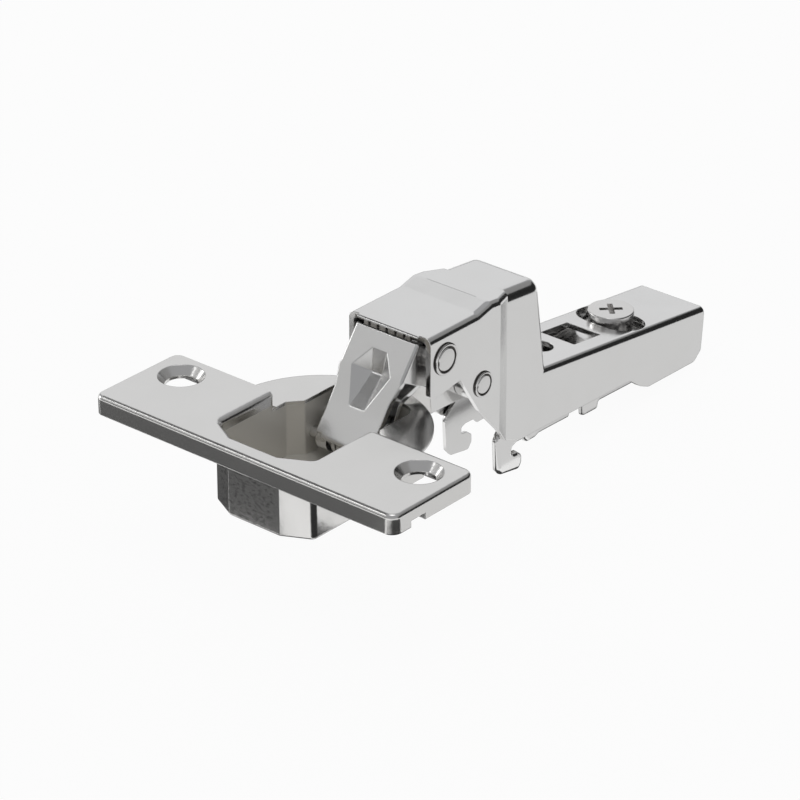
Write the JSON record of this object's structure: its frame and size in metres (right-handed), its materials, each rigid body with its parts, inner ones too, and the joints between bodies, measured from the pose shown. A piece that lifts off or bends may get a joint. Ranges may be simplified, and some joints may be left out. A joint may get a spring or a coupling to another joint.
{
  "type": "concealed cup hinge",
  "caption": "Concealed furniture door hinge: a recessed cup with a wing plate, folded links and a cranked clip-on arm with depth and side adjustment.",
  "frame": {"origin": "axis of the 35 mm cup bore, on the face of the door", "axes": "+Z out of the door, +Y from the cup towards the cabinet arm, +X along the line of the two door screws"},
  "size_m": [0.0654, 0.1167, 0.0375],
  "materials": {
    "nickel_plated_casting": "bright nickel plating on a zinc casting",
    "nickel_plated_sheet": "bright nickel plating on pressed steel",
    "plated_steel_pin": "polished plated steel",
    "spring_steel": "plain drawn wire",
    "moulded_nylon": "moulded nylon"
  },
  "bodies": {
    "cup": {"cup": "nickel_plated_casting", "cup_pin_outer": "plated_steel_pin", "cup_pin_inner": "plated_steel_pin", "closing_spring": "spring_steel", "spring_saddle": "moulded_nylon"},
    "outer_link": {"outer_link": "nickel_plated_sheet"},
    "inner_link": {"inner_link": "nickel_plated_sheet"},
    "arm": {"arm": "nickel_plated_sheet", "front_rivet": "plated_steel_pin", "rear_rivet": "plated_steel_pin", "front_pivot_washers": "nickel_plated_sheet", "rear_pivot_spacers": "nickel_plated_sheet"},
    "adapter": {"adapter": "nickel_plated_sheet", "side_adjust_bush": "nickel_plated_casting", "catch_pin": "plated_steel_pin", "catch_spring": "spring_steel"},
    "depth_cam": {"depth_cam_screw": "nickel_plated_casting", "cam_washer": "nickel_plated_sheet"},
    "side_screw": {"side_adjust_screw": "nickel_plated_casting"},
    "catch": {"catch_lever": "nickel_plated_sheet"}
  },
  "joints": [
    {"name": "cup_swing", "type": "hinge", "parent": "cup", "child": "outer_link", "pos_m": [0, 0.0075, -0.0062], "axis": [1, 0, 0], "range_deg": [0, 102]},
    {"name": "arm_swing", "type": "hinge", "parent": "outer_link", "child": "arm", "pos_m": [0, 0.0215, 0.0076], "axis": [1, 0, 0], "range_deg": [-11.1, 0]},
    {"name": "inner_swing", "type": "hinge", "parent": "cup", "child": "inner_link", "pos_m": [0, 0.011, -0.0037], "axis": [1, 0, 0], "range_deg": [0, 115.8]},
    {"name": "depth_slide", "type": "slide", "parent": "arm", "child": "adapter", "axis": [0, 0.9998, -0.0192], "range_m": [-0.0015, 0.0015]},
    {"name": "cam_turn", "type": "hinge", "parent": "adapter", "child": "depth_cam", "pos_m": [-0.0018, 0.0787, -0.01125], "axis": [0, 0.0192, 0.9998], "range_deg": [-57.7, 57.7]},
    {"name": "side_turn", "type": "hinge", "parent": "adapter", "child": "side_screw", "pos_m": [0, 0.0576, -0.01085], "axis": [0, 0.0192, 0.9998], "range_deg": [-180, 180]},
    {"name": "catch_swing", "type": "hinge", "parent": "adapter", "child": "catch", "pos_m": [0, 0.088, -0.0152], "axis": [1, 0, 0], "range_deg": [0, 10], "stiffness_Nm_per_rad": 0.05, "springref_deg": -17.19}
  ],
  "couplings": [
    {"joint": "arm_swing", "follows": "cup_swing", "ratio": -0.10784},
    {"joint": "inner_swing", "follows": "cup_swing", "ratio": 1.1333},
    {"joint": "cam_turn", "follows": "depth_slide", "rad_per_m": -671.3}
  ]
}
